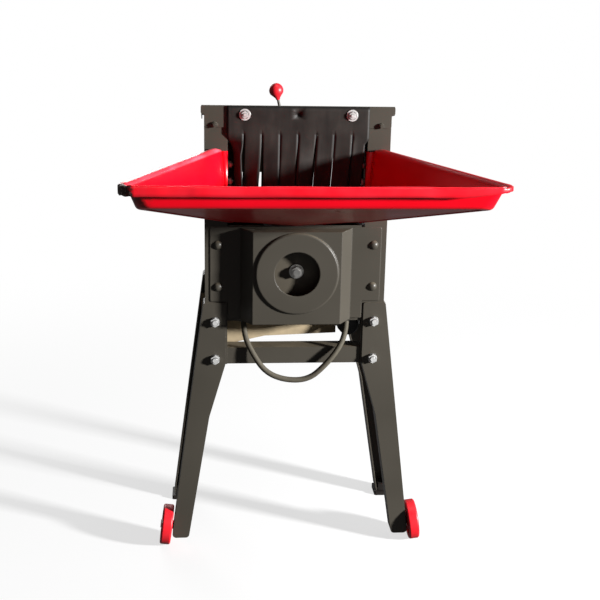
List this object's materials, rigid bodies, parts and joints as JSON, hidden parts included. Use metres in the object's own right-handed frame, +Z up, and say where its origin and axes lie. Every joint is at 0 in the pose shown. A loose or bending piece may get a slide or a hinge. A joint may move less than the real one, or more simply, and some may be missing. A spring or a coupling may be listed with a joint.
{
  "type": "corn sheller",
  "caption": "Electric corn sheller: flared feed tray with a slit rubber curtain, peg drum over a bar concave, fan, belt drive, ball-lever outlet gate, kernel chute, tapered legs and wheels.",
  "frame": {"origin": "on the floor, under the middle of the bounding box", "axes": "+Z up; -Y is the feed side that the picture shows, +Y the cob outlet and motor side, kernels leave at -X"},
  "size_m": [0.6392, 0.894, 0.956],
  "materials": {
    "dark_paint": "satin charcoal paint over pressed sheet",
    "red_paint": "glossy bright red paint over thin sheet",
    "red_plastic": "glossy moulded red",
    "black_rubber": "matt black rubber",
    "zinc_steel": "bright zinc plate",
    "bright_steel": "turned bright steel",
    "grey_iron": "plain grey iron",
    "motor_alloy": "cast, grey",
    "motor_cover": "black pressed cowl",
    "black_plastic": "matt black",
    "rocker_plastic": "glossy red"
  },
  "bodies": {
    "frame": {"belt_guard": "dark_paint", "cable_glands": "black_plastic", "cable_loop": "black_plastic", "capacitor": "black_plastic", "capacitor_clip": "zinc_steel", "cheek_left": "dark_paint", "cheek_right": "dark_paint", "cob_spout": "dark_paint", "concave": "dark_paint", "cover_bolts": "dark_paint", "cross_member_front": "dark_paint", "cross_member_rear": "dark_paint", "curtain_bolts": "zinc_steel", "drive_belt": "black_rubber", "fan_cover": "dark_paint", "feed_tray": "red_paint", "front_bearing": "grey_iron", "front_wall": "dark_paint", "gate_lugs": "dark_paint", "kernel_chute": "dark_paint", "leg_bolts": "zinc_steel", "leg_front_left": "dark_paint", "leg_front_right": "dark_paint", "leg_rear_left": "dark_paint", "leg_rear_right": "dark_paint", "lid_screws": "dark_paint", "motor_bolts": "zinc_steel", "motor_cowl": "motor_cover", "motor_frame": "motor_alloy", "motor_shelf": "dark_paint", "post_front_left": "dark_paint", "post_front_right": "dark_paint", "post_rear_left": "dark_paint", "post_rear_right": "dark_paint", "rear_bearing": "grey_iron", "rear_feet": "black_rubber", "rear_wall": "dark_paint", "roof_lid": "dark_paint", "rubber_curtain": "black_rubber", "side_panel_left": "dark_paint", "side_panel_right": "dark_paint", "terminal_box": "black_plastic", "tray_bolts": "zinc_steel", "tray_brackets": "dark_paint", "wheel_axles": "zinc_steel"},
    "rotor": {"main_shaft": "bright_steel", "shaft_nut": "bright_steel", "fan_impeller": "dark_paint", "threshing_drum": "dark_paint", "drum_pegs": "bright_steel", "driven_pulley": "grey_iron"},
    "motor_rotor": {"motor_shaft": "bright_steel", "motor_pulley": "grey_iron"},
    "gate": {"outlet_gate": "dark_paint", "gate_lever": "dark_paint", "lever_knob": "red_plastic"},
    "wheel_left": {"wheel_left": "red_plastic"},
    "wheel_right": {"wheel_right": "red_plastic"},
    "rocker": {"rocker_switch": "rocker_plastic"}
  },
  "joints": [
    {"name": "rotor_spin", "type": "hinge", "parent": "frame", "child": "rotor", "pos_m": [0, -0.024, 0.6127], "axis": [0, 1, 0], "continuous": true},
    {"name": "motor_spin", "type": "hinge", "parent": "frame", "child": "motor_rotor", "pos_m": [0, 0.248, 0.469], "axis": [0, 1, 0], "continuous": true},
    {"name": "wheel_left_spin", "type": "hinge", "parent": "frame", "child": "wheel_left", "pos_m": [-0.26543, -0.007, 0.04308], "axis": [-0.9914, 0, 0.1309], "continuous": true},
    {"name": "wheel_right_spin", "type": "hinge", "parent": "frame", "child": "wheel_right", "pos_m": [0.26543, -0.007, 0.04308], "axis": [0.9914, 0, 0.1309], "continuous": true},
    {"name": "gate_swing", "type": "hinge", "parent": "frame", "child": "gate", "pos_m": [0, 0.25, 0.87602], "axis": [1, 0, 0], "range_deg": [-33, 22]},
    {"name": "rocker_tilt", "type": "hinge", "parent": "frame", "child": "rocker", "pos_m": [0, 0.338, 0.5608], "axis": [0, 1, 0], "range_deg": [0, 14]}
  ],
  "couplings": [
    {"joint": "motor_spin", "follows": "rotor_spin", "ratio": 2.1373}
  ]
}
